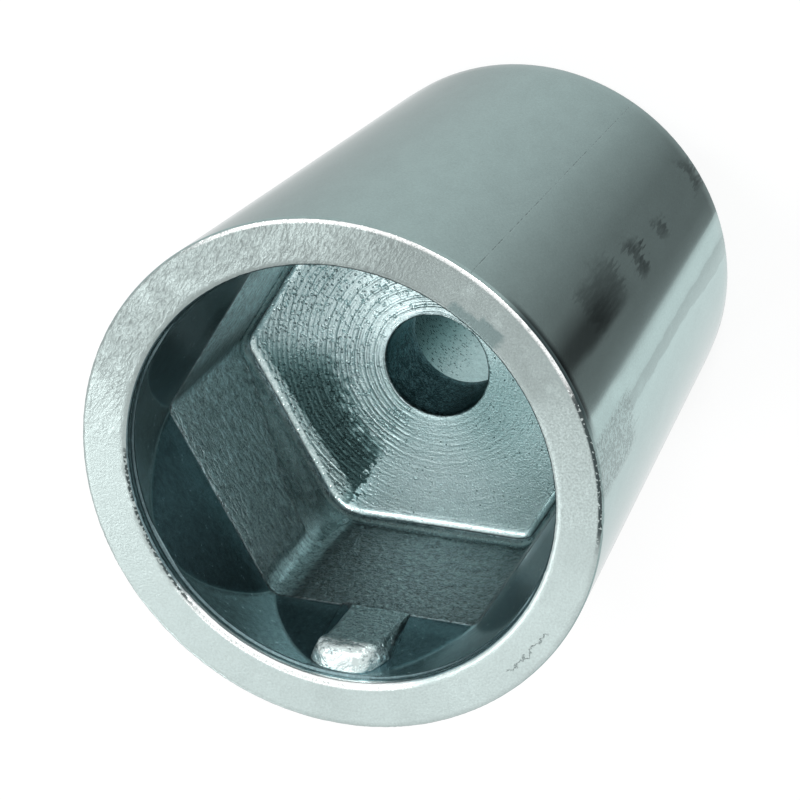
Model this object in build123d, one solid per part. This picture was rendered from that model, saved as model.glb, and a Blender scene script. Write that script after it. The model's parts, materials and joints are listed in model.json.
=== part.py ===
from build123d import *
from math import cos, radians, tan
import os

# A sacrificial anode that caps the nut at the end of a propeller shaft: one zinc casting.
# It stands on its closed end, with the open mouth up. The origin is the centre of the
# closed end, and the shaft's axis is Z. All lengths are in millimetres, angles in degrees.

# The nut that the socket takes.
nut_across_flats = 36.0
nut_clearance = 0.7
socket_draft = 0.65
socket_corner_radius = 2.4
worn_corner_radius = 5.0
worn_corner_angle = 60.0
floor_fillet = 1.6

# The mouth, with six sloping flats that lead the nut in.
lead_in_depth = 10.3
lead_in_angle = 18.0
corner_clearance = 0.1
mouth_wall = 5.0
mouth_step_depth = 1.2
mouth_step_width = 0.2

# The lug that stands on one of the sloping flats, level with the socket's wall.
lug_angle = 90.0
lug_width = 6.1
lug_offset = -0.7
lug_side_draft = 17.0
lug_setback = 1.9
lug_end_radius = 0.9

# The body, from the socket's floor to the closed end.
socket_length = 18.9
web_thickness = 9.4
screw_hole_diameter = 11.0
head_recess_diameter = 22.0
head_recess_depth = 23.4
body_taper = 4.25

# Broken edges.
rim_chamfer = 0.35
end_edge_radius = 0.6
hole_edge_chamfer = 0.3
recess_edge_chamfer = 0.6

# Half the angle between two corners of the hexagon.
sides = 6
half_side_angle = 180 / sides

# Heights above the closed end.
floor_height = head_recess_depth + web_thickness
lead_in_height = floor_height + socket_length
length = lead_in_height + lead_in_depth

# Radii and half widths that follow from the sizes above.
floor_apothem = (nut_across_flats + nut_clearance) / 2
lead_in_apothem = floor_apothem + socket_length * tan(radians(socket_draft))
bore_radius = lead_in_apothem / cos(radians(half_side_angle)) + corner_clearance
mouth_radius = bore_radius + mouth_wall
end_radius = mouth_radius - length * tan(radians(body_taper))


def turned_body():
    """The tapered outside, with its two outer edges broken, still solid inside."""
    with BuildPart() as body:
        with BuildSketch(Plane.XZ):
            with BuildLine():
                Polyline((0, 0), (end_radius, 0), (mouth_radius, length), (0, length), close=True)
            make_face()
        revolve(axis=Axis.Z)
        fillet(body.edges().filter_by(GeomType.CIRCLE).sort_by(Axis.Z)[0], end_edge_radius)
        chamfer(body.edges().filter_by(GeomType.CIRCLE).sort_by(Axis.Z)[-1], rim_chamfer)
    return body.part


def socket_outline(apothem, corner_radius, worn_radius):
    """A hexagon with flats square to the lug, rounded corners, and one corner worn rounder."""
    hexagon = RegularPolygon(
        apothem, sides, major_radius=False, rotation=lug_angle - half_side_angle)
    worn_way = Vector(1, 0, 0).rotate(Axis.Z, worn_corner_angle)
    corners = hexagon.vertices().sort_by(lambda v: Vector(v.X, v.Y, 0).dot(worn_way))
    rounded = fillet(corners[:-1], corner_radius)
    worn = rounded.vertices().sort_by(lambda v: Vector(v.X, v.Y, 0).dot(worn_way))[-1]
    return fillet(worn, worn_radius)


def socket_core():
    """The shape of the hollow from the floor to the mouth, as a foundry core."""
    floor = Pos(0, 0, floor_height) * socket_outline(
        floor_apothem, socket_corner_radius, worn_corner_radius)
    prism = extrude(floor, socket_length, dir=(0, 0, 1), taper=-socket_draft)
    prism = fillet(prism.edges().group_by(Axis.Z)[0], floor_fillet)

    top_face = prism.faces().sort_by(Axis.Z)[-1]
    flare = extrude(top_face, lead_in_depth, dir=(0, 0, 1), taper=-lead_in_angle)
    bore = Pos(0, 0, lead_in_height) * Cylinder(
        bore_radius, lead_in_depth, align=(Align.CENTER, Align.CENTER, Align.MIN))
    step = Pos(0, 0, length) * Cylinder(
        bore_radius + mouth_step_width, mouth_step_depth,
        align=(Align.CENTER, Align.CENTER, Align.MAX))
    return prism + (flare & bore) + step


def locating_lug():
    """The lug, drafted at its sides, from the bore's wall to the plane of the socket's flat."""
    top_lean = tan(radians(socket_draft))
    side_lean = tan(radians(lug_side_draft))
    root = bore_radius + mouth_wall / 2
    half_top = lug_width / 2
    half_root = half_top + (root - lead_in_apothem) * side_lean
    with BuildPart() as lug:
        with BuildSketch(Plane.XY.offset(lead_in_height)):
            with BuildLine():
                Polyline(
                    (-half_top, lead_in_apothem), (half_top, lead_in_apothem),
                    (half_root, root), (-half_root, root), close=True)
            make_face()
        extrude(amount=lead_in_depth - lug_setback, dir=(0, top_lean, 1))
        end_edges = lug.edges().filter_by(Axis.X).group_by(Axis.Z)[-1]
        fillet(end_edges.sort_by(Axis.Y)[0], lug_end_radius)
    return Rot(0, 0, lug_angle - 90) * Pos(lug_offset, 0, 0) * lug.part


def screw_passage():
    """The hole for the fixing screw and the deep recess for its head."""
    to_end = (Align.CENTER, Align.CENTER, Align.MIN)
    hole = Cylinder(screw_hole_diameter / 2, floor_height, align=to_end)
    recess = Cylinder(head_recess_diameter / 2, head_recess_depth, align=to_end)
    hole_edge = Pos(0, 0, floor_height - hole_edge_chamfer) * Cone(
        screw_hole_diameter / 2, screw_hole_diameter / 2 + hole_edge_chamfer,
        hole_edge_chamfer, align=to_end)
    recess_edge = Cone(
        head_recess_diameter / 2 + recess_edge_chamfer, head_recess_diameter / 2,
        recess_edge_chamfer, align=to_end)
    return hole + recess + hole_edge + recess_edge


def anode_casting():
    """The whole anode."""
    return turned_body() - socket_core() - screw_passage() + locating_lug()


os.makedirs("parts", exist_ok=True)
export_step(anode_casting(), "parts/anode_casting.step")
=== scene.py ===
import json
import math
from types import SimpleNamespace
import bpy
import numpy as np
from mathutils import Euler, Matrix, Vector


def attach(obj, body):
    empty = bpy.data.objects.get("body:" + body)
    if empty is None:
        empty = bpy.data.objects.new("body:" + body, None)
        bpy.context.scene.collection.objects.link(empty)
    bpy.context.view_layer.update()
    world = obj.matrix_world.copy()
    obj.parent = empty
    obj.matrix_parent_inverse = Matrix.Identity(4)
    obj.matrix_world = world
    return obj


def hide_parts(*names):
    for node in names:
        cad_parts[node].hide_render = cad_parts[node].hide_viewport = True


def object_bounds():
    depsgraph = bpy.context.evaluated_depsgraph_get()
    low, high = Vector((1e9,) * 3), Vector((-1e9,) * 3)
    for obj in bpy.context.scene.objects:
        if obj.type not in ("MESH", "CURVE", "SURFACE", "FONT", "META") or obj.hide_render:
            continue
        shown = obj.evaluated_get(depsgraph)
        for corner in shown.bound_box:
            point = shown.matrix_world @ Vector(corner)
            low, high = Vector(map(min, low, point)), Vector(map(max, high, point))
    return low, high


# A cast zinc anode, standing on its closed end with its mouth up.
# Sizes are in millimetres and become metres where a mesh is made. Angles are in degrees.
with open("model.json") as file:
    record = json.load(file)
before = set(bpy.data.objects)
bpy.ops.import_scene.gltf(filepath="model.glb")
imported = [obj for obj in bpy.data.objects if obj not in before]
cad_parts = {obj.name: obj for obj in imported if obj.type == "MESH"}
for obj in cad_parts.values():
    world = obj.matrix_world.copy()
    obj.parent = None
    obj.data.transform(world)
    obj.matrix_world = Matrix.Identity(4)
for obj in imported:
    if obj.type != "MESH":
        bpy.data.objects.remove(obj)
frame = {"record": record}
cadLow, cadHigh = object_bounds()
mm = 0.001
mounts = {mount["name"]: mount for mount in frame["record"]["mounts"]}

casting = {
    "length": cadHigh.z / mm,
    "mouthRadius": 26.536,
    "bodyTaper": 4.25,
    "edgeRound": 0.35,       # outer edge of the rim
    "innerEdgeRound": 0.42,  # inner edge of the rim, its height and width
    "innerEdgeWidth": 0.6,
    "endRound": 0.7,         # edge of the closed end
    "stepRadius": 21.736,
    "stepDepth": 1.2,
    "boreRadius": 21.536,
    "floorDepth": 29.2,
    "floorApothem": 18.35,
    "socketDraft": 0.65,
    "cornerRadius": 2.4,
    "creaseCornerRadius": 0.6,
    "wornCornerRadius": 5.0,
    "wornCorner": 1,         # corners are counted from +X, 60 degrees apart
    "floorFillet": 1.6,
    "leadInDepth": 10.3,
    "leadInAngle": 18.0,
    "creaseRound": 0.9,
    "holeRadius": mounts["screw_hole"]["dims"]["r_mm"],
    "holeEdge": 0.3,
    "webThickness": 9.4,
    "recessRadius": mounts["head_recess"]["dims"]["r_mm"],
    "recessEdge": 0.6,
    "tuck": 0.15,            # small roundings of the web's lower edges
    "recessCorner": 0.12,
    "seamBlend": 0.25,       # how softly the lug and the flats run into the bore
}

lug = {
    "width": 6.1,
    "offset": -0.7,
    "sideDraft": 17.0,
    "halfTurn": 15.5,               # the lug lies within this turn of +Y
    "setback": 1.35,
    "endRound": 1.5,
    "edgeRound": 0.8,
    "narrowing": 0.09,              # how much the -X side leans in towards the end
    "footDepth": 2.5,
    "footHalf": 1.0,
    "footSwell": (0.75, 1.5),       # how much the end swells on its +X and -X sides
    "leftFall": (2.85, 2.9, 2.2),   # drop of the end, distance from the middle, power
    "rightFall": (2.0, 4.7, 4.0),
}

grid = {
    "columns": 560, "samples": 900,
    "cornerCrowd": 1.3, "cornerSpread": 3,
    "lugCrowd": 5, "lugSpread": 1.9, "lugSides": (81.4, 103.3),
    "rimRows": 14, "edgeRows": 4,
    "slopeRows": 46, "flatRows": 32, "filletRows": 8,
    "bendPull": 4,
    "morphRows": 5, "ringRows": 66, "ringStart": 16.6,
    "wallRows": 26, "wallGap": 1.6, "topGaps": ((0.9, 2), (0.35, 1)), "zoneBlend": 0.15,
    "holeRows": 8, "webRows": 4, "recessRows": 8, "endRows": 5,
}

zoneNames = ("rim", "bore", "facet", "lug", "flat", "floor", "hole", "recess", "wall", "end")

# Each finish and the zones of the casting that it covers.
finishZones = {
    "zincWall": ("wall", "end"),
    "zincRim": ("rim",),
    "zincMouth": ("bore", "facet", "lug", "flat"),
    "zincFloor": ("floor", "hole", "recess"),
}


def softMin(a, b, width):
    near = np.maximum(width - np.abs(a - b), 0) / width
    return np.minimum(a, b) - near * near * width / 4


def softMax(a, b, width):
    return -softMin(-a, -b, width)


def tangent(degrees):
    return math.tan(math.radians(degrees))


# 0 up to low and 1 from high on, with a straight run between them.
def rise(value, low, high):
    return np.clip((value - low) / (high - low), 0, 1)


# Radius of the tapered outer wall at a height, before its edges are broken.
def wallRadius(height):
    return casting["mouthRadius"] - (casting["length"] - height) * tangent(casting["bodyTaper"])


# How far the socket's outline has grown from its floor size at a depth below the mouth.
def socketGrowth(depth):
    c = casting
    drafted = (c["floorDepth"] - depth) * tangent(c["socketDraft"])
    atLeadIn = (c["floorDepth"] - c["leadInDepth"]) * tangent(c["socketDraft"])
    sloped = atLeadIn + (c["leadInDepth"] - depth) * tangent(c["leadInAngle"])
    return softMax(drafted, sloped, c["creaseRound"])


# Distance from the axis to the rounded hexagon. Its corners are rounder near the floor.
def socketRadius(turn, grown, depth):
    c = casting
    sector = np.round(turn / (math.pi / 3))
    away = turn - sector * (math.pi / 3)
    worn = sector.astype(int) % 6 == c["wornCorner"]
    full = np.where(worn, c["wornCornerRadius"], c["cornerRadius"])
    down = rise(depth, c["leadInDepth"], c["floorDepth"] - c["floorFillet"])
    base = c["creaseCornerRadius"] + (full - c["creaseCornerRadius"]) * down ** 1.5
    half = math.pi / 6
    radius = np.maximum(base + np.minimum(grown, 0.25), 0.2)
    centre = (c["floorApothem"] + grown - radius) / math.cos(half)
    arcEnd = np.arctan2(radius * math.sin(half), centre + radius * math.cos(half))
    side = centre * np.sin(away)
    onArc = centre * np.cos(away) + np.sqrt(np.maximum(radius ** 2 - side ** 2, 0))
    onFlat = (c["floorApothem"] + grown) / np.cos(half - np.abs(away))
    return np.where(np.abs(away) < arcEnd, onArc, onFlat)


nowhere = 99   # a distance from the axis outside the casting


# Distance from the axis to the lug.
def lugRadius(turn, depth):
    c = casting
    lean = tangent(lug["sideDraft"])
    draft = tangent(c["socketDraft"])
    apothem = c["floorApothem"] + (c["floorDepth"] - c["leadInDepth"]) * draft
    across = apothem / np.sin(turn) * np.cos(turn) - lug["offset"]

    def fall(drop, distance, power):
        return drop * (np.abs(across) / distance) ** power

    fallen = np.where(across < 0, fall(*lug["leftFall"]), fall(*lug["rightFall"]))
    below = depth - lug["setback"] - fallen
    rounding = np.clip(lug["endRound"] - below, 0, lug["endRound"])
    rounded = lug["endRound"] - np.sqrt(np.maximum(lug["endRound"] ** 2 - rounding ** 2, 0))
    toCrease = c["leadInDepth"] - depth
    top = (apothem + toCrease * draft + rounded) / np.sin(turn)
    half = lug["width"] / 2
    foot = np.exp(-((depth - lug["footDepth"]) / lug["footHalf"]) ** 2)
    swellRight, swellLeft = lug["footSwell"]
    reachRight = half + swellRight * foot + lug["offset"] - apothem * lean
    reachLeft = half + swellLeft * foot - lug["narrowing"] * toCrease - lug["offset"] - apothem * lean
    right = reachRight / (np.cos(turn) - lean * np.sin(turn))
    left = reachLeft / (-np.cos(turn) - lean * np.sin(turn))
    reach = softMax(softMax(top, right, lug["edgeRound"]), left, lug["edgeRound"])
    return np.where((below > 0) & (depth < c["leadInDepth"]), reach, nowhere)


# Distance from the axis to the hollow's surface, with the lug and without it.
def cavityRadius(turn, depth):
    blend = casting["seamBlend"]
    hexagon = socketRadius(turn, socketGrowth(depth), depth)
    wall = softMin(hexagon, casting["boreRadius"] + 0 * turn, blend)
    facing = np.abs(turn - math.pi / 2) < math.radians(lug["halfTurn"])
    safe = np.where(facing, turn, math.pi / 2)
    reach = np.where(facing, lugRadius(safe, depth), nowhere)
    return softMin(wall, reach, blend), wall


# Angles of the columns, closer together at the socket's corners and the lug's sides.
def columnAngles():
    fine = np.linspace(0, 360, 7201)
    toCorner = np.abs((fine + 30) % 60 - 30)
    crowd = 1 + grid["cornerCrowd"] * np.exp(-(toCorner / grid["cornerSpread"]) ** 2)
    for side in grid["lugSides"]:
        crowd += grid["lugCrowd"] * np.exp(-((fine - side) / grid["lugSpread"]) ** 2)
    reached = np.concatenate([[0], np.cumsum((crowd[1:] + crowd[:-1]) / 2)])
    steps = np.arange(grid["columns"]) / grid["columns"] * reached[-1]
    return np.radians(np.interp(steps, reached, fine))


# Spreads rows along every column's outline, by its length and by how much it bends.
def spreadRows(radius, depth, rows):
    outward, downward = np.diff(radius, axis=0), np.diff(depth, axis=0)
    heading = np.unwrap(np.arctan2(outward, downward), axis=0)
    bend = np.zeros_like(radius)
    bend[1:-1] = np.abs(np.diff(heading, axis=0))
    cost = np.hypot(outward, downward) + grid["bendPull"] * (bend[1:] + bend[:-1]) / 2
    reached = np.vstack([np.zeros(radius.shape[1]), np.cumsum(cost, axis=0)])
    wanted = np.linspace(0, 1, rows + 1)[1:]
    made = np.zeros((2, rows, radius.shape[1]))
    for j in range(radius.shape[1]):
        for axis, values in enumerate((radius, depth)):
            made[axis, :, j] = np.interp(wanted * reached[-1, j], reached[:, j], values[:, j])
    return made


# Evenly spaced values after the first, up to the last.
def run(first, last, count):
    return np.linspace(first, last, count + 1)[1:]


# Sine, and 1 less the cosine, at a share of a quarter turn.
def sinRise(share):
    return math.sin(math.pi / 2 * share), 1 - math.cos(math.pi / 2 * share)


# The casting's rings, each as its radius, height, step between columns and zone values.
def castingRings(turn):
    c, length = casting, casting["length"]
    rings = []

    def ring(radius, height, step, **zones):
        shape = turn[::step].shape
        radius, height = [np.broadcast_to(np.asarray(each, float), shape) for each in (radius, height)]
        rings.append((radius, height, step, zones))

    # closed end's edge, then the wall
    wallTop = length - c["edgeRound"]
    quarter = [(share, *sinRise(share)) for share in (0, *run(0, 1, grid["edgeRows"]))]
    for share, sine, rest in quarter[1:]:
        onEnd = share == quarter[1][0]
        ring(wallRadius(0) - c["endRound"] * (1 - sine), c["endRound"] * rest, 4,
             wall=not onEnd, end=onEnd)
    for height in run(c["endRound"], wallTop - grid["wallGap"], grid["wallRows"]):
        ring(wallRadius(height), height, 4, wall=1)
    for gap, step in grid["topGaps"]:
        ring(wallRadius(wallTop - gap), wallTop - gap, step, wall=1)
    # the rim
    outer = wallRadius(wallTop)
    rimOuter = outer - c["edgeRound"]
    rimInner = c["stepRadius"] + c["innerEdgeWidth"]
    for share, sine, rest in quarter:
        ring(outer - c["edgeRound"] * rest, wallTop + c["edgeRound"] * sine, 1, wall=1 - share, rim=share)
    for radius in run(rimOuter, rimInner, grid["rimRows"])[:-1]:
        ring(radius, length, 1, rim=1)
    for share, sine, rest in quarter:
        ring(rimInner - c["innerEdgeWidth"] * sine, length - c["innerEdgeRound"] * rest, 1,
             rim=1 - share, bore=share)
    ring(c["stepRadius"], length - 0.7, 1, bore=1)
    ring(c["stepRadius"], length - c["stepDepth"] + 0.05, 1, bore=1)
    ring(c["boreRadius"] + 0.04, length - c["stepDepth"] - 0.02, 1, bore=1)
    # the bore, the sloping flats and the lug
    blend = grid["zoneBlend"]
    belowCrease = c["leadInDepth"] + 0.6
    filletTop = c["floorDepth"] - c["floorFillet"]
    for first, last, rows in ((c["stepDepth"] + 0.04, belowCrease, grid["slopeRows"]),
                              (belowCrease, filletTop, grid["flatRows"])):
        depth = np.repeat(np.linspace(first, last, grid["samples"])[:, None], len(turn), axis=1)
        radius = cavityRadius(np.repeat(turn[None], grid["samples"], axis=0), depth)[0]
        for rowRadius, rowDepth in zip(*spreadRows(radius, depth, rows)):
            bare = cavityRadius(turn, rowDepth)[1]
            onLug = rise(bare - rowRadius, 0, blend)
            hexagon = socketRadius(turn, socketGrowth(rowDepth), rowDepth)
            onBore = np.clip((hexagon - c["boreRadius"]) / blend + 0.3, 0, 1) * (1 - onLug)
            onFlat = np.clip((rowDepth - c["leadInDepth"]) / blend + 0.5, 0, 1)
            others = (1 - onLug) * (1 - onBore)
            ring(rowRadius, length - rowDepth, 1,
                 lug=onLug, bore=onBore, facet=others * (1 - onFlat), flat=others * onFlat)
    for share in run(0, 1, grid["filletRows"]):
        sine, rest = sinRise(share)
        depth = filletTop + c["floorFillet"] * sine
        grown = socketGrowth(depth) - c["floorFillet"] * rest
        ring(socketRadius(turn, grown, depth), length - depth, 1, flat=1 - share, floor=share)
    # the floor, from the hexagon to round rings
    floorHeight = length - c["floorDepth"]
    foot = socketRadius(turn[::2], socketGrowth(c["floorDepth"]) - c["floorFillet"], c["floorDepth"])
    start, hole, recess = grid["ringStart"], c["holeRadius"], c["recessRadius"]
    for share in run(0, 1, grid["morphRows"]):
        ring(foot * (1 - share) + start * share, floorHeight, 2, floor=1)
    for radius in run(start, hole + c["holeEdge"], grid["ringRows"]):
        ring(radius, floorHeight, 2, floor=1)
    # the hole, the underside of the web, the recess and the closed end
    holeTop = floorHeight - c["holeEdge"]
    ring(hole + c["holeEdge"] * 0.35, floorHeight - c["holeEdge"] * 0.3, 2, floor=0.5, hole=0.5)
    ring(hole, holeTop, 2, hole=1)
    webHeight = floorHeight - c["webThickness"]
    for height in run(holeTop, webHeight + c["tuck"], grid["holeRows"]):
        ring(hole, height, 4, hole=1)
    ring(hole + c["tuck"], webHeight, 4, recess=1)
    for radius in run(hole, recess, grid["webRows"])[:-1]:
        ring(radius, webHeight, 4, recess=1)
    ring(recess - c["recessCorner"], webHeight, 4, recess=1)
    recessTop = webHeight - c["recessCorner"]
    for height in (recessTop, *run(recessTop, c["recessEdge"], grid["recessRows"])):
        ring(recess, height, 4, recess=1)
    ring(recess + c["recessEdge"] * 0.35, c["recessEdge"] * 0.3, 4, recess=1)
    inner = recess + c["recessEdge"]
    for radius in (inner, *run(inner, wallRadius(0) - c["endRound"], grid["endRows"])):
        ring(radius, 0, 4, end=1)
    return rings


# Faces between two rings, given by their first vertex and size. One may have twice the other's columns.
def ringFaces(above, below):
    (a, sizeA), (b, sizeB) = above, below
    size = min(sizeA, sizeB)
    i = np.arange(size)
    j = (i + 1) % size
    if sizeA == sizeB:
        return np.stack([a + i, a + j, b + j, b + i], 1).tolist()
    flip = sizeB > sizeA
    fine, coarse = (b, a) if flip else (a, b)
    mid, far = 2 * i + 1, (2 * i + 2) % max(sizeA, sizeB)
    faces = []
    for corners in ((fine + 2 * i, fine + mid, coarse + i), (fine + mid, coarse + j, coarse + i),
                    (fine + mid, fine + far, coarse + j)):
        faces += np.stack(corners[::-1] if flip else corners, 1).tolist()
    return faces


# The casting as closed rings of vertices, from the outer wall over the rim into the mouth.
def castingMesh():
    turn = columnAngles()
    rings = castingRings(turn)
    count = sum(len(radius) for radius, height, step, values in rings)
    points = np.zeros((count, 3))
    zones = {name: np.zeros(count, np.float32) for name in zoneNames}
    starts, at = [], 0
    for radius, height, step, values in rings:
        used, size = turn[::step], len(radius)
        points[at:at + size] = np.stack([radius * np.cos(used), radius * np.sin(used), height], 1)
        for name, value in values.items():
            zones[name][at:at + size] = value
        starts.append((at, size))
        at += size
    faces = []
    for above, below in zip(starts, starts[1:] + starts[:1]):
        faces += ringFaces(above, below)
    mesh = bpy.data.meshes.new("anode_casting_surface")
    mesh.from_pydata((points * mm).tolist(), [], faces)
    mesh.validate()
    for name, values in zones.items():
        mesh.attributes.new(name + "Zone", "FLOAT", "POINT").data.foreach_set("value", values)
    mesh.polygons.foreach_set("use_smooth", np.ones(len(mesh.polygons), bool))
    mesh.update()
    return mesh


def newPiece(name, mesh):
    piece = bpy.data.objects.new(name, mesh)
    bpy.context.scene.collection.objects.link(piece)
    return piece


def operator(operation):
    return lambda self, other: self.calc(operation, other)


# A value in a node tree. Sums and products of values put the nodes for them in the tree.
class Value:
    def __init__(self, tree, socket):
        self.tree, self.socket = tree, socket

    def calc(self, operation, other=0, **settings):
        return put(self.tree, "ShaderNodeMath", {0: self, 1: other}, operation=operation, **settings)

    __add__ = __radd__ = operator("ADD")
    __sub__ = operator("SUBTRACT")
    __mul__ = __rmul__ = operator("MULTIPLY")
    __truediv__ = operator("DIVIDE")

    def __rsub__(self, other):
        return put(self.tree, "ShaderNodeMath", {0: other, 1: self}, operation="SUBTRACT")

    def __rtruediv__(self, other):
        return put(self.tree, "ShaderNodeMath", {0: other, 1: self}, operation="DIVIDE")


# Puts a node in a tree, with its inputs and settings. A tuple of outputs gives a list of values.
def put(tree, kind, inputs=None, output=0, **settings):
    node = tree.nodes.new(kind)
    for name, value in settings.items():
        setattr(node, name, value)
    for key, value in (inputs or {}).items():
        if isinstance(value, Value):
            tree.links.new(value.socket, node.inputs[key])
        else:
            node.inputs[key].default_value = value
    if isinstance(output, tuple):
        return [Value(tree, node.outputs[key]) for key in output]
    return None if output is None else Value(tree, node.outputs[output])


# 0 up to low, 1 from high on, or the other way round where low is above high.
def fade(value, low, high, bottom=0, top=1):
    return put(value.tree, "ShaderNodeMapRange", {0: value, 1: low, 2: high, 3: bottom, 4: top},
               interpolation_type="SMOOTHSTEP")


# One number where the amount is 0 and the other where it is 1.
def between(amount, bare, full):
    return fade(amount, 0, 1, bare, full)


# 1 from low to high, with soft ends.
def window(value, low, high, soft):
    return fade(value, low - soft, low + soft) * fade(value, high + soft, high - soft)


# Noise of a size in millimetres. It is longer along the shaft where the last value is below 1.
def noise(place, size, detail=2, rough=0.5, squeeze=1):
    if squeeze != 1:
        place = stretched(place, (1, 1, squeeze))
    return put(place.tree, "ShaderNodeTexNoise",
               {"Vector": place, "Scale": 1 / size, "Detail": detail, "Roughness": rough})


# The noises of a finish, by their names among its marks.
def noises(spot, marks, *names):
    return [noise(spot.place, *marks[name]) for name in names]


# The noise's distance from its middle, times an amount.
def swing(value, amount=1):
    return (value - 0.5) * amount


# Round dots, as the distance from the nearest of a scatter of points.
def dots(place, scale, radius, core):
    return fade(put(place.tree, "ShaderNodeTexVoronoi", {"Vector": place, "Scale": scale}), radius, core)


def stretched(place, factors):
    return put(place.tree, "ShaderNodeVectorMath", {0: place, 1: factors}, operation="MULTIPLY")


def turnedBy(place, angle):
    return put(place.tree, "ShaderNodeVectorRotate", {"Vector": place, "Axis": (0, 0, 1), "Angle": angle},
               rotation_type="AXIS_ANGLE")


def scaled(colour, share):
    return put(share.tree, "ShaderNodeVectorMath", {0: colour, "Scale": share}, operation="SCALE")


# Scales a tone of the zinc, which turns bluer as it darkens.
def darkened(colour, share):
    warm = share * fade(share, 0, 1.1, 0.68)
    return stretched(put(share.tree, "ShaderNodeCombineXYZ", {0: warm, 1: share, 2: share}), colour)


def tint(amount, low, high):
    low, high = [(*colour, 1) if isinstance(colour, tuple) else colour for colour in (low, high)]
    return put(amount.tree, "ShaderNodeMix", {0: amount, 6: low, 7: high}, output=2, data_type="RGBA")


# A value that follows the turn round the axis through a few stops, none above 2.
def byTurn(turn, stops):
    ramp = turn.tree.nodes.new("ShaderNodeValToRGB")
    turn.tree.links.new((turn / 360).socket, ramp.inputs[0])
    marks = ramp.color_ramp.elements
    for k, (degrees, value) in enumerate(stops):
        mark = marks[k] if k < 2 else marks.new(degrees / 360)
        mark.position = degrees / 360
        mark.color = (value / 2, value / 2, value / 2, 1)
    return Value(turn.tree, ramp.outputs[0]) * 2


# How much of a zone there is, in the tree of a value or a spot.
def zone(owner, name):
    if owner.tree.type == "SHADER":
        return put(owner.tree, "ShaderNodeAttribute", output=2, attribute_name=name + "Zone")
    return put(owner.tree, "GeometryNodeInputNamedAttribute", {"Name": name + "Zone"}, data_type="FLOAT")


# The place in millimetres, and its radius, turn and height about the shaft's axis.
def polar(tree):
    if tree.type == "SHADER":
        place = put(tree, "ShaderNodeTexCoord", output=3)
    else:
        place = put(tree, "GeometryNodeInputPosition")
    place = stretched(place, (1 / mm, 1 / mm, 1 / mm))
    x, y, height = put(tree, "ShaderNodeSeparateXYZ", {0: place}, output=(0, 1, 2))
    signedTurn = y.calc("ARCTAN2", x) * (180 / math.pi)
    return SimpleNamespace(
        tree=tree, place=place, across=x, radius=(x * x + y * y).calc("SQRT"),
        turn=signedTurn.calc("FLOORED_MODULO", 360), signedTurn=signedTurn, height=height)


# An empty geometry tree with named inputs, the sizes and one material for each finish.
def makeTree(name, sizes):
    tree = bpy.data.node_groups.new(name, "GeometryNodeTree")
    tree.interface.new_socket("Geometry", in_out="INPUT", socket_type="NodeSocketGeometry")
    tree.interface.new_socket("Geometry", in_out="OUTPUT", socket_type="NodeSocketGeometry")
    for label, value in sizes.items():
        kind = "NodeSocketInt" if isinstance(value, int) else "NodeSocketFloat"
        tree.interface.new_socket(label, in_out="INPUT", socket_type=kind).default_value = value
    for label in finishZones:
        tree.interface.new_socket(label, in_out="INPUT", socket_type="NodeSocketMaterial")
    sockets = tree.nodes.new("NodeGroupInput").outputs
    return tree, {socket.name: Value(tree, socket) for socket in sockets if socket.name}


# Ends a tree with real geometry, each zone in its own finish.
def endTree(geometry, given):
    tree = geometry.tree
    made = put(tree, "GeometryNodeRealizeInstances", {0: geometry})
    for name, zones in finishZones.items():
        inside = zone(geometry, zones[0])
        for each in zones[1:]:
            inside = inside + zone(geometry, each)
        chosen = put(tree, "FunctionNodeCompare", {0: inside, 1: 0.5},
                     data_type="FLOAT", operation="GREATER_EQUAL")
        made = put(tree, "GeometryNodeSetMaterial",
                   {"Geometry": made, "Selection": chosen, "Material": given[name]})
    put(tree, "NodeGroupOutput", {0: made}, output=None)


# Runs a tree on a piece and keeps the result as a plain mesh.
def runTree(piece, tree, values):
    modifier = piece.modifiers.new(tree.name, "NODES")
    modifier.node_group = tree
    for socket in tree.interface.items_tree:
        if socket.name in values:
            modifier[socket.identifier] = values[socket.name]
    graph = bpy.context.evaluated_depsgraph_get()
    mesh = bpy.data.meshes.new_from_object(
        piece.evaluated_get(graph), preserve_all_data_layers=True, depsgraph=graph)
    piece.modifiers.remove(modifier)
    piece.data = mesh
    mesh.calc_loop_triangles()
    print(piece.name + ":", len(mesh.loop_triangles), "triangles")


# Turned rings, cast streaks, swells and burrs, in millimetres along the surface's normal.
relief = {
    "Ring pitch": 1.06, "Ring depth": 0.035, "Ring waver": 0.45,
    "Streak size": 0.5, "Streak depth": 0.08,
    "Swell size": 1.3, "Swell depth": 0.16,
    "Wall swell size": 9.0, "Wall swell depth": 0.03,
    "Rough size": 0.8, "Rough depth": 0.07,
    "Burr size": 0.45, "Burr depth": 0.28,
    "Hole burr size": 0.5, "Hole burr depth": 0.3,
    "Seed": 4,
}

# Where each kind of relief lies on the casting.
places = {
    "roughTurn": (-75, 61), "roughRadius": (7, 10), "faintRingTurn": (62, 230),
    "ringRadius": (13.5, 9.5), "streakTurn": (262, 352), "streakLean": 0.5,
    "innerBurr": (0, 46), "outerBurr": (174, 209),
}


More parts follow.
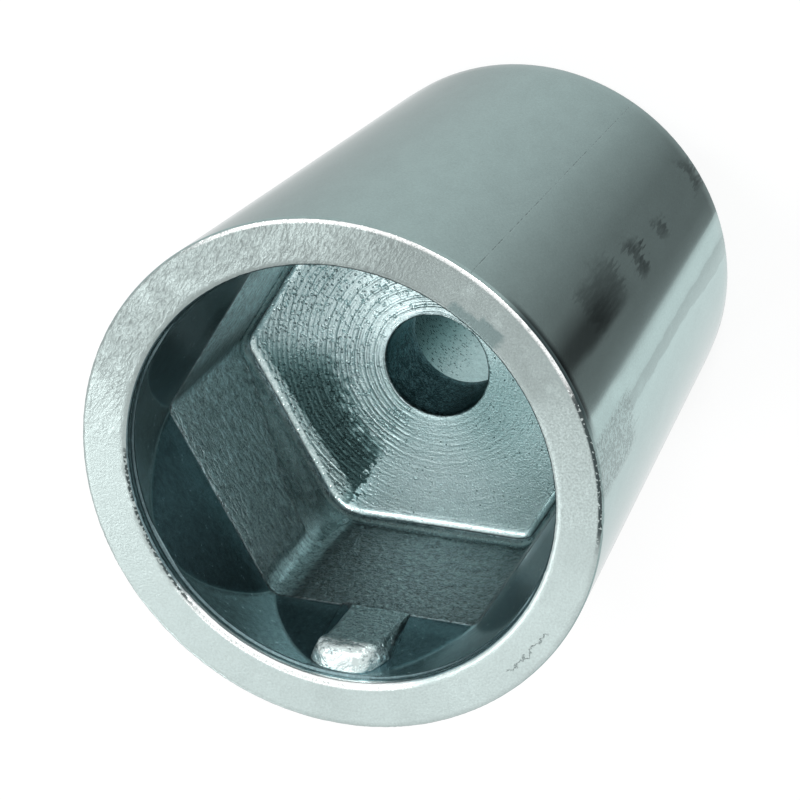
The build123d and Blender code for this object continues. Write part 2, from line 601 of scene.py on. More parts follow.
def reliefTree():
    tree, given = makeTree("castRelief", relief)
    spot = polar(tree)
    turn = spot.turn
    shifted = put(tree, "ShaderNodeVectorMath", {0: spot.place, 1: given["Seed"]}, operation="ADD")
    floor, hole, rim, bore, wall, flat, onLug = [
        zone(spot, name) for name in ("floor", "hole", "rim", "bore", "wall", "flat", "lug")]

    waver = swing(noise(shifted, 7), given["Ring waver"])
    wave = ((spot.radius + waver) / given["Ring pitch"] * (2 * math.pi)).calc("SINE")
    rings = (wave * given["Ring depth"] * fade(swing(noise(shifted, 3.5)), -0.12, 0.16, 0.25)
             * fade(spot.radius, *places["ringRadius"], 0.2)
             * between(window(turn, *places["faintRingTurn"], 12), 1, 0.06))
    patch = window(spot.signedTurn, *places["roughTurn"], 3) * fade(spot.radius, *places["roughRadius"])
    rough = swing(noise(shifted, given["Rough size"]), given["Rough depth"]) * between(patch, 0.2, 1)

    leaned = stretched(turnedBy(shifted, places["streakLean"]), (1, 0.38, 1))
    streaks = (swing(noise(leaned, given["Streak size"], 1.5), given["Streak depth"])
               * window(turn, *places["streakTurn"], 14))
    swell = swing(noise(shifted, given["Swell size"], 1), given["Swell depth"])
    wallSwell = swing(noise(shifted, given["Wall swell size"], squeeze=0.35), given["Wall swell depth"])

    burred = (rim * bore * 4 * window(turn, *places["innerBurr"], 5)
              + rim * wall * 4 * window(turn, *places["outerBurr"], 4) + rim * (bore + wall) * 1.3)
    burr = swing(noise(shifted, given["Burr size"], 0), given["Burr depth"]) * burred
    holeBurr = swing(noise(shifted, given["Hole burr size"], 1), given["Hole burr depth"])

    lift = (floor * (rings + rough) + rim * (streaks + swell * 0.12) + (flat + onLug) * swell
            + wall * wallSwell + burr + floor * hole * 4 * holeBurr)
    offset = scaled(put(tree, "GeometryNodeInputNormal"), lift * mm)
    endTree(put(tree, "GeometryNodeSetPosition", {"Geometry": given["Geometry"], "Offset": offset}), given)
    return tree


# Pimples left by the mould on the socket's floor, as flattened beads sunk by half.
pimples = {"Density": 1.9, "Width": 0.21, "Height": 0.15, "Seed": 11}
pimplePlaces = {"turn": (-80, 62), "radius": (6.2, 17), "clusterSize": 4.0}


def pimpleTree():
    tree, given = makeTree("mouldPimples", pimples)
    spot = polar(tree)
    crowd = window(spot.signedTurn, *pimplePlaces["turn"], 12)
    share = (zone(spot, "floor") * between(crowd, 0.06, 1)
             * fade(noise(spot.place, pimplePlaces["clusterSize"]), 0.35, 0.6, 0.3)
             * window(spot.radius, *pimplePlaces["radius"], 0.3))
    points, rotation = put(tree, "GeometryNodeDistributePointsOnFaces", {
        "Mesh": given["Geometry"], "Density": given["Density"] * share * (1 / mm ** 2),
        "Seed": given["Seed"]}, output=("Points", "Rotation"))
    bead = put(tree, "GeometryNodeMeshIcoSphere", {"Radius": mm, "Subdivisions": 2})
    bead = put(tree, "GeometryNodeSetShadeSmooth", {"Geometry": bead})
    bead = put(tree, "GeometryNodeStoreNamedAttribute",
               {"Geometry": bead, "Name": "floorZone", "Value": 1.0}, data_type="FLOAT", domain="POINT")

    def chance(low, high, seed):
        return put(tree, "FunctionNodeRandomValue", {2: low, 3: high, "Seed": seed}, output=1,
                   data_type="FLOAT")

    size = chance(0.35, 1, given["Seed"])
    width = given["Width"] * size
    length = width * chance(0.8, 1.7, 3)
    size = put(tree, "ShaderNodeCombineXYZ", {0: width, 1: length, 2: given["Height"] * size})
    endTree(put(tree, "GeometryNodeInstanceOnPoints", {
        "Points": points, "Instance": bead, "Rotation": rotation, "Scale": size}), given)
    return tree


# Colours of the zones, as they look under a white sky. The glint tone and the lug end's tone are painted
# highlights, the hole's tone is painted shade, and the darkest tone serves painted shade and a painted dark
# reflection as well as flow marks.
tones = {
    "wall": (0.288, 0.382, 0.376), "end": (0.42, 0.50, 0.495),
    "rim": (0.485, 0.57, 0.56), "rimGlint": (0.96, 0.985, 0.98),
    "bore": (0.15, 0.225, 0.24), "facet": (0.09, 0.15, 0.165), "flat": (0.40, 0.53, 0.545),
    "lug": (0.27, 0.37, 0.38), "lugEnd": (0.62, 0.715, 0.71),
    "floor": (0.71, 0.86, 0.865), "lip": (0.52, 0.63, 0.625),
    "hole": (0.037, 0.066, 0.073), "recess": (0.55, 0.73, 0.73),
    "soot": (0.02, 0.035, 0.037), "stain": (0.15, 0.205, 0.205), "crack": (0.08, 0.11, 0.11),
    "plain": (1, 1, 1),
}

# The polished outer wall, with its parting line, a dull strip, a pitted patch and a few flow marks. The flow
# marks' dark blotches are partly a painted dark reflection on that side, and a line of painted shade runs
# under the rim.
wallMarks = {
    "edgeTint": (0.72, 0.76, 0.76, 1),
    "fine": (0.2, 2, 0.6), "comb": (0.35, 2, 0.6, 0.09), "cloud": (2.2, 3, 0.6, 0.4),
    "pits": (0.4, 3, 0.7, 0.7),
    "partingTurn": 59.9, "partingHalf": 0.1,
    "pittedTurn": (183.5, 196), "pittedHeight": (45, 50),
    "dullTurn": (191, 194.5), "dullLean": 2.3, "dullHeight": (0.8, 49),
    # a dark line of painted shade on the wall just under the rim's edge
    "grimeTurn": (199, 229), "grimeHeight": (59.9, 61.2),
    # flow marks: partly real marks, partly a painted dark reflection in the wall's dark band
    "flows": (((210, 220.5), (36.5, 48.5), 0.45), ((208.8, 218), (27.5, 31), 0.8),
              ((210.5, 215.5), (18, 20.8), 0.65), ((210, 219), (1.2, 4.5), 0.65)),
}


def wallDesign(spot):
    marks = wallMarks
    fine, comb, cloud, pits = noises(spot, marks, "fine", "comb", "cloud", "pits")
    comb, cloud = swing(comb), swing(cloud)
    turnHere = spot.turn + cloud * 1.6
    heightHere = spot.height + comb * 8 + cloud * 4
    pitted = (window(turnHere, *marks["pittedTurn"], 1.2) * fade(pits, 0.42, 0.6, 0.35)
              * fade(heightHere, *marks["pittedHeight"]))
    # the dull strip leans and widens towards the closed end
    first, last = marks["dullTurn"]
    ragged = turnHere + comb * 1.6
    leaned = ragged + fade(spot.height, 26, 6, 0, marks["dullLean"])
    dull = (fade(leaned, first - 0.4, first + 0.4) * fade(ragged, last + 0.5, last - 0.5)
            * window(heightHere, *marks["dullHeight"], 0.8) * fade(cloud, -0.25, 0.05, 0.45))
    # the parting line runs down both sides
    line, half = marks["partingTurn"], marks["partingHalf"]
    parting = (window(spot.turn.calc("FLOORED_MODULO", 180), line - half, line + half, half)
               * fade(pits, 0.44, 0.58))
    share = ((1 + swing(fine, 0.4) + cloud * 0.2) * between(pitted, 1, 0.72)
             * between(parting, 1, 0.6) * between(dull, 1, 0.74))
    # flow marks, partly real and partly a painted dark reflection that deepens the dark band
    flows = 0
    for turns, heights, strength in marks["flows"]:
        mark = window(spot.turn + cloud * 8, *turns, 1.6) * window(heightHere, *heights, 0.6)
        flows = mark * strength + flows
    flows = flows * fade(comb, -0.25, 0.15, 0.45)
    # painted shade: a dark line on the wall just under the rim's edge
    shadeLine = window(spot.turn, *marks["grimeTurn"], 5) * fade(spot.height, *marks["grimeHeight"])
    onEnd = zone(spot, "end")
    colour = tint(flows.calc("MAXIMUM", shadeLine * 0.93), scaled(tones["wall"], share), tones["soot"])
    colour = tint(onEnd, colour, scaled(tones["end"], share))
    roughness = onEnd * 0.3 + pitted * 0.16 + dull * 0.05 + 0.10
    height = fine * 0.0014 + pits * pitted * 0.03 + parting * -0.02
    return colour, roughness, height


# The rim: faced flat, with cast streaks, a grey stain and a crack. Its bright edges are painted highlights,
# its dark dotted edges painted shade, and its brightness by turn painted light and shade.
rimMarks = {
    # brightness by turn: painted light and shade, darkest on one side
    "tones": ((0, 0.80), (30, 0.83), (60, 0.86), (90, 0.88), (125, 1.01), (150, 0.99), (180, 0.87),
              (205, 0.74), (210, 0.60), (225, 0.54), (240, 0.50), (256, 0.46), (270, 0.58), (300, 0.64),
              (330, 0.66), (360, 0.80)),
    "fine": (0.22, 3, 0.6), "cloud": (4, 3), "ragged": (1.2, 4, 0.65), "streak": (0.3, 2.5, 0.6),
    "dots": (0.34, 1), "wander": (1.1, 3, 0.7, 0),
    "streakTurn": (258, 352), "streakSoft": 14, "streakRadius": (22, 23.4),
    "stainArms": (((225.3, 232.6), (20.8, 23.8)), ((231.2, 240), (22, 23.15))),
    "fuzzyTurn": (176, 207), "smearTurn": (200, 246), "smearRadius": (23.9, 25.6),
    "crackTurn": (134.5, 148.5), "crackRadius": 24.75,
    # glints: painted highlights on the rim's outer and inner edges
    "glintTurn": (206, 300), "glintRadius": (25.95, 26.2),
    "innerGlintTurn": (44, 108), "innerGlintRadius": (22.52, 22.34),
    "outerBurrRadius": (25.95, 26.15), "innerBurrRadius": (22.3, 22.1),
}


def rimDesign(spot):
    marks = rimMarks

    def along(name, soft, where=marks):
        return window(spot.turn, *where[name], soft)

    def edge(name):
        return fade(spot.radius, *marks[name])

    fine, cloud, ragged, spots, wander = noises(
        spot, marks, "fine", "cloud", "ragged", "dots", "wander")
    ragged, wander = swing(ragged), swing(wander, 2.6)
    leaned = stretched(turnedBy(spot.place, places["streakLean"]), (1, 0.45, 1))
    streaks = noise(leaned, *marks["streak"])
    streaked = (along("streakTurn", marks["streakSoft"]) * fade(cloud, 0.38, 0.56, 0.35)
                * fade(spot.radius, *marks["streakRadius"], 0.45))
    # the brightness by turn is painted light and shade
    share = (1 + swing(fine) * between(along("fuzzyTurn", 4), 0.45, 1.1) + swing(cloud, 0.14)
             + streaked * swing(streaks, 1.3)) * byTurn(spot.turn, marks["tones"])
    smear = (along("smearTurn", 3) * fade(ragged, -0.05, 0.2)
             * window(spot.radius, *marks["smearRadius"], 0.5))
    colour = scaled(tones["rim"], share * between(smear, 1, 1.18))

    turnHere, radiusHere = spot.turn + ragged * 4, spot.radius + ragged * 1.1
    stain, otherArm = [window(turnHere, *turns, 0.7) * window(radiusHere, *radii, 0.2)
                       for turns, radii in marks["stainArms"]]
    colour = tint(stain.calc("MAXIMUM", otherArm) * 0.9, colour, tones["stain"])
    fromCrack = (spot.radius - (wander + marks["crackRadius"])).calc("ABSOLUTE")
    crack = fade(fromCrack, 0.11, 0.03) * along("crackTurn", 0.6)
    colour = tint(crack * 0.55, colour, tones["crack"])

    # painted highlights: a near-white, smoother tone on the outer edge's upper arc and the inner edge's lower
    # arc
    glint = edge("glintRadius") * along("glintTurn", 8)
    glint = glint + edge("innerGlintRadius") * along("innerGlintTurn", 8)
    glint = glint * fade(fine, 0.35, 0.5, 0.4)
    colour = tint(glint, colour, tones["rimGlint"])
    # painted shade: dark dots along the burred outer and inner edges
    outer = edge("outerBurrRadius") * along("outerBurr", 4, places) * fade(spots, 0.34, 0.4)
    inner = edge("innerBurrRadius") * along("innerBurr", 4, places) * fade(spots, 0.42, 0.5)
    colour = tint(outer.calc("MAXIMUM", inner) * 0.92, colour, tones["soot"])
    roughness = 0.34 + swing(cloud, 0.15) + glint * -0.2
    height = fine * 0.016 + streaks * streaked * 0.15 + crack * -0.08
    return colour, roughness, height


# The mouth: round bore, sloping facets, the socket's flats and the lug. Each flat, facet and the bore is
# lighter or darker by turn, as painted light and shade.
mouthMarks = {
    "lugEndHeight": (58.6, 59.8), "lugSideFrom": (2.9, 3.25), "edgeHeight": (61.25, 61.5),
    # painted light and shade: the brightness of each flat, facet and the bore by turn
    "flatTones": ((0, 1.1), (4, 0.85), (24, 0.88), (40, 0.66), (54, 0.38), (59.5, 0.85), (62.5, 0.85),
                  (66, 0.27), (80, 0.42), (92, 0.56), (110, 0.48), (122, 0.36), (300, 0.65), (318, 1.5),
                  (342, 1.1), (350, 0.55), (357, 0.4), (360, 1.1)),
    "facetTones": ((0, 1.1), (20, 1.9), (30, 1.5), (50, 0.8), (60, 0.7), (88, 0.7), (96, 2), (120, 2),
                   (150, 1), (330, 0.5), (360, 1.1)),
    "boreTones": ((0, 0.6), (30, 0.8), (55, 1), (75, 1.9), (95, 1.8), (115, 1.4), (150, 1.3),
                  (180, 1), (300, 0.7), (360, 0.6)),
    # the calm band beside the floor's fillet: smoother, and darkened by painted shade
    "calmTurn": (0, 56), "calmHeight": (34.6, 40.5), "calmTone": 0.75, "calmEnd": (60, 64),
    "crestHeight": (50, 51), "lineShare": (0.62, 0.8), "lineHeight": (36, 35),
    "cornerTurn": (55.5, 65), "evenTurn": (62, 122),
    "fine": (0.2, 3, 0.65), "ripple": (0.95, 3, 0.6, 1.9), "even": (0.55, 3, 0.6),
}


def mouthDesign(spot):
    marks = mouthMarks
    fine, rippled, even = noises(spot, marks, "fine", "ripple", "even")
    middle = rippled + window(spot.turn, *marks["evenTurn"], 1) * (even - rippled)
    pits = dots(spot.place, 1.7, 0.17, 0.07)
    flat, facet, bore, onLug = [zone(spot, name) for name in ("flat", "facet", "bore", "lug")]
    # the flat beside the floor's fillet is calmer, and darkened by painted shade, most of all near the worn
    # corner
    first, last = marks["calmHeight"]
    calmTop = fade(spot.signedTurn, *marks["calmTurn"], first, last)
    over = fade(spot.signedTurn, *marks["calmEnd"], 0, last - first)
    calm = fade(spot.height + swing(middle, 1.6) + over - calmTop, 0.7, -0.5) * flat
    rough = flat.calc("ADD", onLug * 0.8, use_clamp=True) * between(calm, 1, 0.2)
    grained = (0.45 + rough * 0.55) * (swing(fine, 2.3) + swing(middle, 2.2))
    # painted shade: darker, and rougher, along the crease of flat and facet
    crest = flat * (1 - flat) * 4 * fade(spot.height, *marks["crestHeight"])
    share = 1 + grained + pits * rough * -0.6 + crest * -0.55
    # painted light and shade by turn on the facets, flats and bore
    shaded = tint(flat, byTurn(spot.turn, marks["facetTones"]), byTurn(spot.turn, marks["flatTones"]))
    shaded = tint(bore, shaded, byTurn(spot.turn, marks["boreTones"]))
    shaded = tint(onLug, shaded, tones["plain"])
    colour = tint(facet, tones["bore"], tones["facet"])
    colour = tint(onLug, tint(flat, colour, tones["flat"]), tones["lug"])
    colour = stretched(scaled(colour, share * between(calm, 1, marks["calmTone"])), shaded)

    specks = dots(spot.place, 2.4, 0.12, 0.05) * fade(fine, 0.42, 0.6) * (1 - rough)
    colour = tint(specks * 0.7, colour, tones["flat"])
    # painted highlight: a lighter line along the crease of facet and bore
    crease = fade(facet * bore * 4, 0.35, 0.95)
    colour = tint(crease * 0.45, colour, tones["lug"])
    # painted highlight: a bright thin line along the flat's fillet above the floor
    line = window(flat, *marks["lineShare"], 0.05) * fade(spot.height, *marks["lineHeight"])
    colour = tint(line * 0.6, colour, tones["rim"])
    # the lug's sides darkened by painted shade, and its broken end brightened by a painted highlight
    fromMiddle = (spot.across - lug["offset"]).calc("ABSOLUTE")
    low, high = marks["lugEndHeight"]
    onSide = onLug * fade(fromMiddle, *marks["lugSideFrom"]) * fade(spot.height, high, low)
    colour = tint(onSide * 0.9, colour, tones["facet"])
    lugEnd = onLug * fade(spot.height, low, high)
    colour = tint(lugEnd * fade(middle, 0.33, 0.42, 0.3), colour, tones["lugEnd"])
    # painted highlight: the inner edge's glint carried onto the bore's top
    edge = fade(spot.height, *marks["edgeHeight"]) * window(spot.turn, *rimMarks["innerGlintTurn"], 8)
    colour = tint(edge, colour, tones["rimGlint"])
    roughness = 0.25 + rough * 0.1 + swing(middle, 0.12) + lugEnd * -0.1 + crest * 0.25
    height = fine * between(rough, 0.006, 0.09) + middle * between(rough, 0.01, 0.45) + pits * rough * -0.1
    corner = window(spot.turn, *marks["cornerTurn"], 2)
    return colour, roughness, height * between(lugEnd, 1, 0.3) * between(corner, 1, 0.15)


# The socket's floor with its turned rings and a rougher patch darkened by painted shade, the hole and the
# recess below it.
floorMarks = {
    # painted light and shade: the floor's brightness by turn, and painted light towards its outer edge
    "tones": ((0, 1.04), (20, 0.90), (35, 0.76), (58, 0.70), (64, 0.72), (76, 0.80), (90, 0.83),
              (105, 0.74), (120, 0.60), (135, 0.49), (165, 0.47), (185, 0.54), (240, 0.95), (285, 1.28),
              (315, 1.30), (330, 1.28), (345, 1.2), (360, 1.04)),
    "edgeTint": (0.5, 0.72, 0.75, 1), "outerShare": 1.22, "outerRadius": (7, 14), "mostShare": 1.17,
    "fine": (0.2, 3, 0.65), "middle": (0.8, 3, 0.6), "cloud": (3, 2), "waver": (5, 1),
    "brightTurn": (-75, -14), "brightRadius": (14.5, 11), "recessTurn": (30, 70),
    "bumpyTurn": (-85, 62), "bumpyRadius": (7, 11),
    "patchTurn": (-22, 22), "patchEnd": (61.6, 60), "patchRadius": (7.5, 12.5), "patchTone": 0.17,
    "ringTurn": (-125, 62), "ringRadius": (13.5, 9.5),
    "flatWay": (math.cos(math.pi / 6), math.sin(math.pi / 6), 0),
    "lipLean": 1.3 / 60, "lipEdge": (16.6, 17.1), "lipTurn": (-30, 58),
}


def floorDesign(spot):
    marks = floorMarks
    around, radius = spot.signedTurn, spot.radius
    fine, middle, cloud, waver = noises(spot, marks, "fine", "middle", "cloud", "waver")
    ragged = swing(middle)
    flat = zone(spot, "flat")
    # the patch: a rougher area, darkened by painted shade
    patch = (fade(around, *marks["patchTurn"]) * fade(around + ragged * 15, *marks["patchEnd"])
             * fade(radius + ragged * 8 + around * -0.03, *marks["patchRadius"]))
    # a paler lip along the flat that faces the patch, a painted highlight of the fillet
    toFlat = put(spot.tree, "ShaderNodeVectorMath", {0: spot.place, 1: marks["flatWay"]}, output=1,
                 operation="DOT_PRODUCT") + ragged * 0.9 + around * marks["lipLean"]
    onLip = fade(toFlat, *marks["lipEdge"]) * window(around, *marks["lipTurn"], 4)
    dark = patch * (1 - onLip)
    bright = window(around, *marks["brightTurn"], 14) * fade(radius, *marks["brightRadius"])
    pits = dots(spot.place, 1.6, 0.17, 0.08) * fade(cloud, 0.44, 0.58, 0.15)
    bumps = dots(spot.place, 2.3, 0.4, 0.06) * fade(middle, 0.38, 0.58, 0.3)
    bumpy = window(around, *marks["bumpyTurn"], 14) * fade(radius, *marks["bumpyRadius"], 0.25)
    bumpy = between(bumpy, 0.06, 1)
    wave = ((radius + swing(waver, relief["Ring waver"])) * (2 * math.pi / relief["Ring pitch"])).calc("SINE")
    ringed = (between(window(around, *marks["ringTurn"], 16), 0.1, 1)
              * fade(radius, *marks["ringRadius"], 0.5) * fade(cloud, 0.35, 0.6, 0.5))
    ridges = (fade(wave, 0.45, 1) + fade(wave, -0.55, -1) * 0.45 + -0.3) * ringed
    # the turned rings are real relief; their bright crests and darker flanks in the colour are painted
    # highlight and shade
    share = (1 + swing(fine, 0.9) + swing(middle, 0.4) + pits * -0.65 + ridges * 0.5
             + bumps * bumpy * 0.5)
    # painted light and shade by turn, painted shade over the patch and painted light towards the outer edge
    share = (share * byTurn(spot.turn, marks["tones"]) * between(dark, 1, marks["patchTone"])
             * fade(radius, *marks["outerRadius"], 1, marks["outerShare"]))
    colour = darkened(tones["floor"], share.calc("MINIMUM", marks["mostShare"]))
    lipShare = 0.9 + swing(fine) + swing(middle, 0.9)
    colour = tint(onLip * 0.8, colour, darkened(tones["lip"], lipShare))
    # painted shade: the fillet at the flats' foot darkened towards the flat's tone
    colour = tint(fade(flat, 0.36, 0.5), colour, scaled(tones["flat"], 0.3 + swing(fine, 0.2)))
    # the hole's mottled wall, darkened by painted shade, and the recess, with painted shade on the side that
    # the light doesn't reach
    mottled = (1 + swing(middle, 7) + swing(fine, 9)).calc("MAXIMUM", 0.1)
    colour = tint(zone(spot, "hole"), colour, scaled(tones["hole"], mottled))
    recessShare = 1 + swing(middle, 0.5) + swing(fine, 0.5) + pits * -0.4
    recessShare = recessShare * fade(around, *marks["recessTurn"], 0.1)
    colour = tint(zone(spot, "recess"), colour, darkened(tones["recess"], recessShare))
    onFillet = flat * (1 - flat) * 4
    roughness = 0.36 + dark * 0.1 + swing(middle, 0.1) + onFillet * -0.22 + bright * -0.08
    lift = fine * 0.07 + middle * bumpy * 0.04 + bumps * bumpy * 0.22 + ridges * 0.13 + pits * -0.08
    return colour, roughness, lift * fade(onFillet, 0.2, 0.8, 1, 0.12) * between(bright, 1, 0.4)


def emptyTree(owner):
    owner.use_nodes = True
    owner.node_tree.nodes.clear()
    return owner.node_tree


def mixed(share, below, above):
    return put(share.tree, "ShaderNodeMixShader", {0: share, 1: below, 2: above})


# A material from a function that gives a tree's surface.
def newMaterial(name, surface):
    material = bpy.data.materials.new(name)
    tree = emptyTree(material)
    put(tree, "ShaderNodeOutputMaterial", {"Surface": surface(tree)}, output=None)
    return material


# Zinc from a function that gives its colour, its roughness and its relief in millimetres.
def zincMaterial(name, design, metallic, edgeTint=(1, 1, 1, 1)):
    def surface(tree):
        colour, roughness, height = design(polar(tree))
        bump = put(tree, "ShaderNodeBump", {"Strength": 1.0, "Distance": mm, "Height": height})
        return put(tree, "ShaderNodeBsdfPrincipled", {
            "Base Color": colour, "Roughness": roughness, "Normal": bump, "Metallic": metallic,
            "Specular Tint": edgeTint})

    return newMaterial(name, surface)


print("casting: mesh")
castingPiece = newPiece("zinc_casting", castingMesh())
print("finish: cast zinc")
designs = {
    "zincWall": (wallDesign, 1.0, wallMarks["edgeTint"]),
    "zincRim": (rimDesign, 0.9),
    "zincMouth": (mouthDesign, 0.92),
    "zincFloor": (floorDesign, 0.9, floorMarks["edgeTint"]),
}
finishes = {name: zincMaterial(name, *values) for name, values in designs.items()}
print("casting: relief")
runTree(castingPiece, reliefTree(), {**relief, **finishes})
print("pimples")
pimplePiece = newPiece("floor_pimples", castingPiece.data.copy())
runTree(pimplePiece, pimpleTree(), {**pimples, **finishes})
for piece in (castingPiece, pimplePiece):
    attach(piece, "root")
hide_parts("anode_casting")

# The camera as fitted to the photograph, looking along a bearing and down from the level.
camera = {
    "width": 800, "focal": 3964.08, "sensor": 36,   # picture width and focal length in pixels
    "azimuth": 52.66, "down": 59.73148, "roll": -138.60546,
    "mouth": (-6.0349, 7.5854, 378.774),   # the mouth's centre from the camera: right, down and away
}


def makeCamera():
    azimuth, down, roll = [math.radians(camera[name]) for name in ("azimuth", "down", "roll")]
    level = Euler((math.pi / 2 - down, 0, azimuth - math.pi / 2)).to_matrix()
    turned = level @ Matrix.Rotation(roll, 3, "Z")
    right, below, away = camera["mouth"]
    place = Vector((0, 0, casting["length"])) - turned @ Vector((right, -below, -away))
    data = bpy.data.cameras.new("camera")
    data.sensor_width = camera["sensor"]
    data.lens = camera["sensor"] * camera["focal"] / camera["width"]
    data.clip_start, data.clip_end = 0.01, 20
    made = newPiece("camera", data)
    made.matrix_world = Matrix.Translation(place * mm) @ turned.to_4x4()
    bpy.context.scene.camera = made
    print("camera:", [round(x, 2) for x in place])
    return np.array(place)


# A card beside the casting, seen only in its polished wall, as a photographer's flag is: a painted
# reflection. It lies where the wall mirrors it from the camera, black on one side of a hard edge and glowing
# bright on the other.
# Turns and heights are those of the wall that mirrors it. Covers are its strength by turn.
card = {
    "edgeTurn": 200.8, "edgeGap": 0.02, "firstTurn": 160, "lastTurn": 306, "columns": (40, 130),
    "heights": (-3, 78), "rows": 140, "lift": 0.3,
    "cover": ((200.8, 0.3), (201.8, 0.56), (203.5, 0.62), (206, 0.69), (213, 0.69), (218, 0.68),
              (222, 0.66), (228, 0.52), (234, 0.38), (240, 0.20), (248, 0.07), (258, 0), (268, 0),
              (287, 0.2), (296, 0.2), (306, 0)),
    "paleCover": ((160, 0), (176, 0.3), (184, 0.42), (188, 0.5), (190, 0.58), (193, 0.42),
                  (194.5, 0.36), (195.2, 0.5), (199.2, 0.5), (200.3, 0.1), (200.8, 0.1)),
    "paleShift": 3, "shiftHeight": (49, 53), "shiftFrom": 190,
    "glow": 2, "darkGlow": 0.02, "fadeHeight": (76, 61.5), "footHeight": (-3, 2),
    "darkTurn": (209, 210), "darkEnd": (220, 214.5), "darkHeight": (35, 45), "darkMost": 0.8,
    # a brighter island in the dark, with a combed lower edge
    "islandEnd": (211, 210), "islandHeight": (50.8, 59.5), "islandSoft": 0.8,
    "islandLean": 0.6, "leanTurn": (205, 214),
    "comb": ((5.3, 0), (8.9, 1), (14.1, 2)), "combDepth": 0.7,
}


def unit(way):
    return way / np.linalg.norm(way, axis=-1, keepdims=True)


# Where the card must lie for the wall to mirror it at each turn and height.
def mirroredPlaces(eye, turn, height):
    angle, radius = np.radians(turn), wallRadius(height)
    place = np.stack([radius * np.cos(angle), radius * np.sin(angle), height], -1)
    slope = np.full_like(angle, -tangent(casting["bodyTaper"]))
    normal = unit(np.stack([np.cos(angle), np.sin(angle), slope], -1))
    sight = unit(place - eye)
    bounce = sight - 2 * np.sum(sight * normal, -1, keepdims=True) * normal
    landed = place + bounce * ((card["lift"] - height) / bounce[..., 2])[..., None]
    landed[..., 2] = card["lift"]
    return landed


def makeCard(eye):
    edge, gap = card["edgeTurn"], card["edgeGap"]
    turns = np.concatenate([np.linspace(card["firstTurn"], edge - gap, card["columns"][0]),
                            np.linspace(edge + gap, card["lastTurn"], card["columns"][1])])
    turn, height = np.meshgrid(turns, np.linspace(*card["heights"], card["rows"]), indexing="ij")
    pale = turn < edge
    shifted = turn - card["paleShift"] * rise(height, *card["shiftHeight"]) * (turn > card["shiftFrom"])
    paleCover = np.interp(shifted, *zip(*card["paleCover"]))
    darkCover = np.interp(turn, *zip(*card["cover"]))
    band = (rise(turn, *card["darkTurn"]) * rise(turn, *card["darkEnd"])
            * rise(height, *card["darkHeight"]) * card["darkMost"])
    comb = sum(np.sin(turn * pitch + start) for pitch, start in card["comb"])
    low, high = card["islandHeight"]
    leanFirst, leanLast = card["leanTurn"]
    low = low + card["islandLean"] * (np.clip(turn, leanFirst, leanLast) - leanFirst)
    low += card["combDepth"] * comb
    island = rise(height, low, low + card["islandSoft"]) * rise(turn, *card["islandEnd"]) * (height < high)
    band *= 1 - island
    lit = rise(height, *card["fadeHeight"])
    lit = lit * lit * (3 - 2 * lit) * rise(height, *card["footHeight"])
    cover = np.where(pale, paleCover, darkCover + (1 - darkCover) * band) * lit
    glow = np.where(pale, card["glow"], card["darkGlow"])
    rows = card["rows"]
    corners = [i * rows + j for i in range(len(turns) - 1) for j in range(rows - 1)]
    mesh = bpy.data.meshes.new("flag")
    mesh.from_pydata((mirroredPlaces(eye, turn, height).reshape(-1, 3) * mm).tolist(), [],
                     [(k, k + 1, k + rows + 1, k + rows) for k in corners])
    for name, values in (("cover", cover), ("glow", glow)):
        values = values.ravel().astype(np.float32)
        mesh.attributes.new(name, "FLOAT", "POINT").data.foreach_set("value", values)

    # painted reflection: glowing white on the pale side, near black on the dark side, as strong as its cover
    def reflectionPaint(tree):
        glowing, share = [put(tree, "ShaderNodeAttribute", output=2, attribute_name=name)
                          for name in ("glow", "cover")]
        glow = put(tree, "ShaderNodeEmission", {"Color": (1, 1, 1, 1), "Strength": glowing})
        return mixed(share, put(tree, "ShaderNodeBsdfTransparent"), glow)

    mesh.materials.append(newMaterial("flagCloth", reflectionPaint))
    piece = newPiece("flag", mesh)
    for ray in ("camera", "diffuse", "transmission", "volume_scatter", "shadow"):
        setattr(piece, "visible_" + ray, False)


studio = {
    "floorSize": 3,
    "floorDrop": 0.00002,    # metres below the closed end
    "worldLight": 0.6,
    "floorColour": (0.9, 0.9, 0.9, 1),
    "floorGlow": 0.75,       # share of the floor that shows as the white background
    "floorWhite": 1.1,
    "white": (1, 1, 1, 1),
}


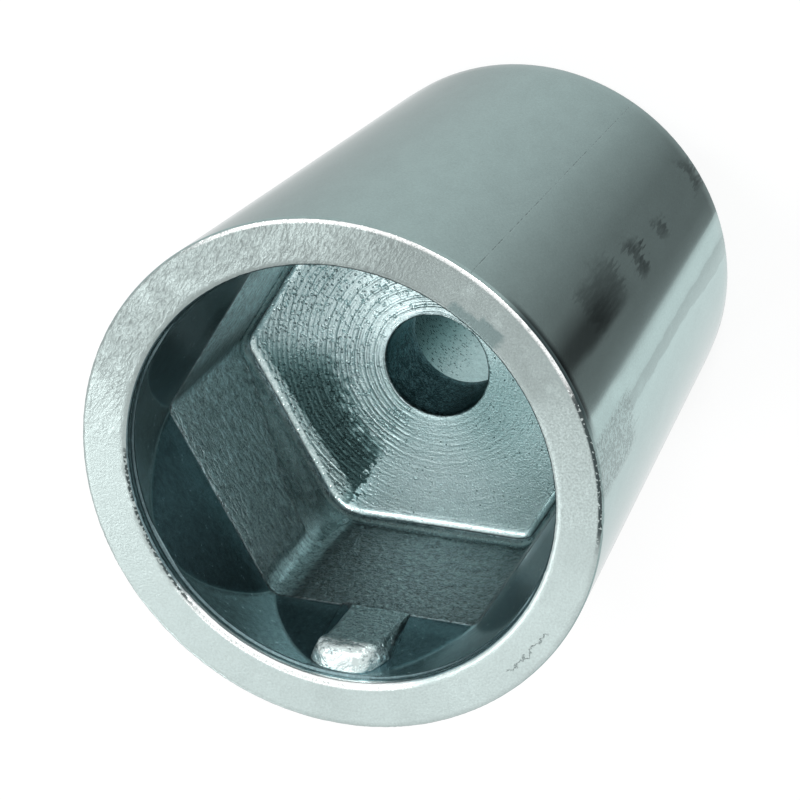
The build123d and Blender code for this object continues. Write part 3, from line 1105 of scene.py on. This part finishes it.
# 1 for the rays that see the background: straight, in a mirror or through glass.
def seenRay(tree):
    straight, mirrored, through = put(tree, "ShaderNodeLightPath", output=(
        "Is Camera Ray", "Is Glossy Ray", "Is Transmission Ray"))
    return straight.calc("MAXIMUM", mirrored).calc("MAXIMUM", through)


def makeWorld():
    world = bpy.data.worlds.new("studio")
    bpy.context.scene.world = world
    tree = emptyTree(world)
    dim, white = [put(tree, "ShaderNodeBackground", {"Color": studio["white"], "Strength": strength})
                  for strength in (studio["worldLight"], 1)]
    put(tree, "ShaderNodeOutputWorld", {"Surface": mixed(seenRay(tree), dim, white)}, output=None)


def makeFloor():
    half = studio["floorSize"] / 2
    corners = [(-half, -half, 0), (half, -half, 0), (half, half, 0), (-half, half, 0)]
    mesh = bpy.data.meshes.new("floor")
    mesh.from_pydata(corners, [], [(0, 1, 2, 3)])
    piece = newPiece("floor", mesh)
    piece.location.z = -studio["floorDrop"]

    def paint(tree):
        lit = put(tree, "ShaderNodeBsdfDiffuse", {"Color": studio["floorColour"]})
        white = put(tree, "ShaderNodeEmission", {"Color": studio["white"], "Strength": studio["floorWhite"]})
        return mixed(seenRay(tree) * studio["floorGlow"], lit, white)

    mesh.materials.append(newMaterial("paleFloor", paint))


# Square lamps: bearing, height above the level, distance and size in metres, power in watts.
lamps = {
    "keyLamp": (244, 55, 0.8, 0.22, 1.6),
    "topLamp": (28, 55, 0.7, 0.2, 0.53),
    "sideLamp": (320, 58, 0.7, 0.12, 0.7),
    "backLamp": (52, 24, 0.8, 0.12, 0.4),
}
lampAim = Vector((0, 0, 0.04))


def addLamp(name, azimuth, elevation, distance, size, power):
    data = bpy.data.lights.new(name, "AREA")
    data.shape = "SQUARE"
    data.size = size
    data.energy = power
    a, e = math.radians(azimuth), math.radians(elevation)
    toward = Vector((math.cos(a) * math.cos(e), math.sin(a) * math.cos(e), math.sin(e)))
    made = newPiece(name, data)
    made.location = lampAim + toward * distance
    made.rotation_mode = "QUATERNION"
    made.rotation_quaternion = toward.to_track_quat("Z", "Y")


eyePlace = makeCamera()
print("studio: white world, floor, flag and lamps")
makeWorld()
makeFloor()
makeCard(eyePlace)
for name, settings in lamps.items():
    addLamp(name, *settings)
bpy.context.scene.view_settings.view_transform = "Standard"
